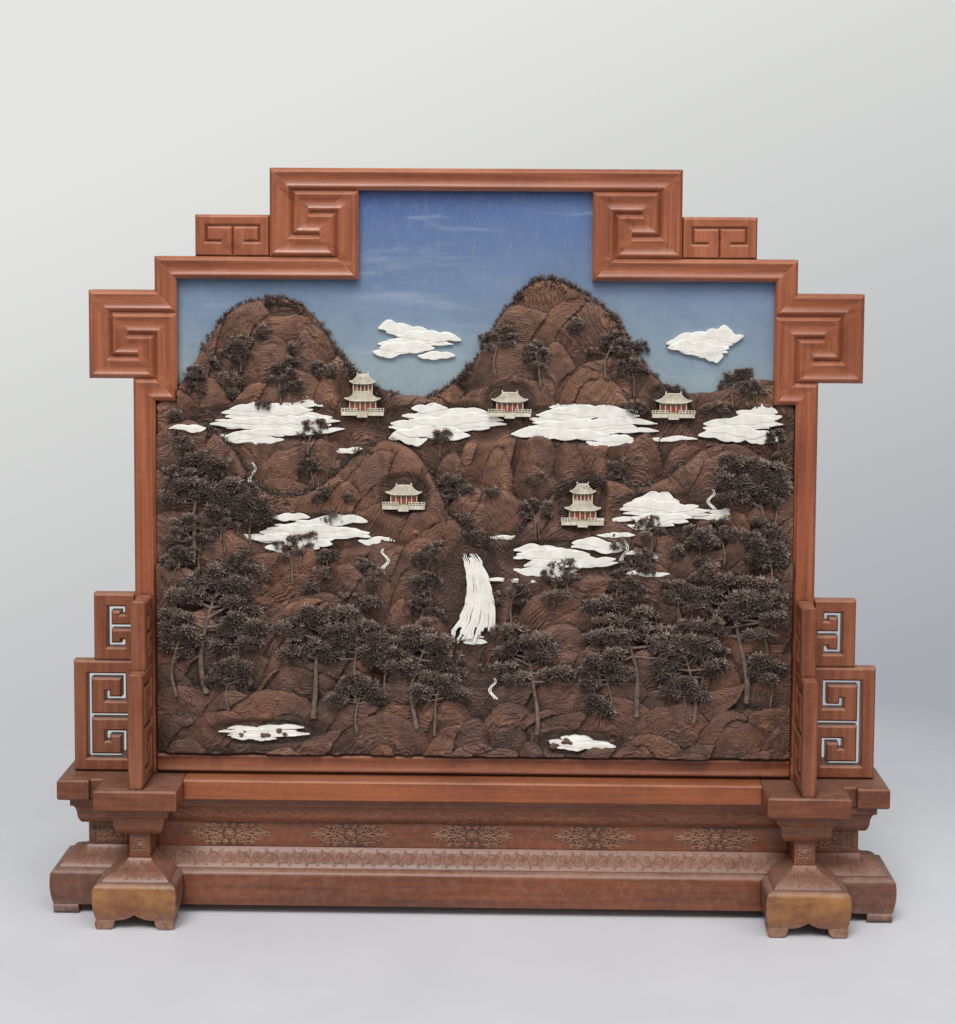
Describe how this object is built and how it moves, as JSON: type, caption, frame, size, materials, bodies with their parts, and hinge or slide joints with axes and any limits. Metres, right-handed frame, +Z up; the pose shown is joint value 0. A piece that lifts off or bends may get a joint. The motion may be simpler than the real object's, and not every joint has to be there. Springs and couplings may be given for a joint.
{
  "type": "inlaid screen on stand",
  "caption": "Stepped hardwood floor screen with key-fret corners, a carved and inlaid landscape panel and pierced brackets, standing in a moulded stand.",
  "frame": {"origin": "floor level under the middle of the stand", "axes": "+X along the screen to its right side, +Y to its back, +Z up; the picture faces -Y"},
  "size_m": [2.096, 0.42, 1.852],
  "materials": {
    "frame_wood": "waxed reddish hardwood, satin",
    "stand_wood": "waxed reddish hardwood, dusty in the carving",
    "foot_wood": "worn tan-brown hardwood",
    "back_wood": "plain oiled boards",
    "sky_ground": "painted ground, blue fading to pale blue",
    "rock_far": "carved dark brown hardwood",
    "rock_middle": "carved dark brown hardwood",
    "rock_near": "carved dark brown hardwood",
    "ivory": "polished bone-white inlay",
    "hall": "pale carved inlay",
    "pine": "dark carved wood"
  },
  "bodies": {
    "stand": {"long_slab": "stand_wood", "long_upper_lotus": "stand_wood", "long_waist": "stand_wood", "long_lower_lotus": "stand_wood", "long_foot_beam": "foot_wood", "left_pedestal_slab": "stand_wood", "left_pedestal_upper_lotus": "stand_wood", "left_pedestal_waist": "stand_wood", "left_pedestal_lower_lotus": "stand_wood", "left_pedestal_foot": "foot_wood", "left_foot_pads": "foot_wood", "left_side_bracket_lower": "frame_wood", "left_side_bracket_upper": "frame_wood", "left_front_bracket_lower": "frame_wood", "left_front_bracket_upper": "frame_wood", "left_back_bracket_lower": "frame_wood", "left_back_bracket_upper": "frame_wood", "right_pedestal_slab": "stand_wood", "right_pedestal_upper_lotus": "stand_wood", "right_pedestal_waist": "stand_wood", "right_pedestal_lower_lotus": "stand_wood", "right_pedestal_foot": "foot_wood", "right_foot_pads": "foot_wood", "right_side_bracket_lower": "frame_wood", "right_side_bracket_upper": "frame_wood", "right_front_bracket_lower": "frame_wood", "right_front_bracket_upper": "frame_wood", "right_back_bracket_lower": "frame_wood", "right_back_bracket_upper": "frame_wood", "stand_dowels": "stand_wood"},
    "screen": {"top_rail": "frame_wood", "bottom_rail": "frame_wood", "left_head_fret": "frame_wood", "left_shoulder_rail": "frame_wood", "left_shoulder_fret": "frame_wood", "left_upper_stile": "frame_wood", "left_wing_fret": "frame_wood", "left_lower_stile": "frame_wood", "right_head_fret": "frame_wood", "right_shoulder_rail": "frame_wood", "right_shoulder_fret": "frame_wood", "right_upper_stile": "frame_wood", "right_wing_fret": "frame_wood", "right_lower_stile": "frame_wood", "mitre_keys": "frame_wood", "sky_board": "sky_ground", "back_battens": "back_wood", "back_boards": "back_wood", "far_mountains": "rock_far", "middle_mountains": "rock_middle", "near_rocks": "rock_near", "cloud_inlays": "ivory", "pavilions": "hall", "pines": "pine", "water_inlays": "ivory"}
  },
  "joints": [
    {"name": "screen_lift", "type": "slide", "parent": "stand", "child": "screen", "axis": [0, 0, 1], "range_m": [0, 0.5]}
  ]
}
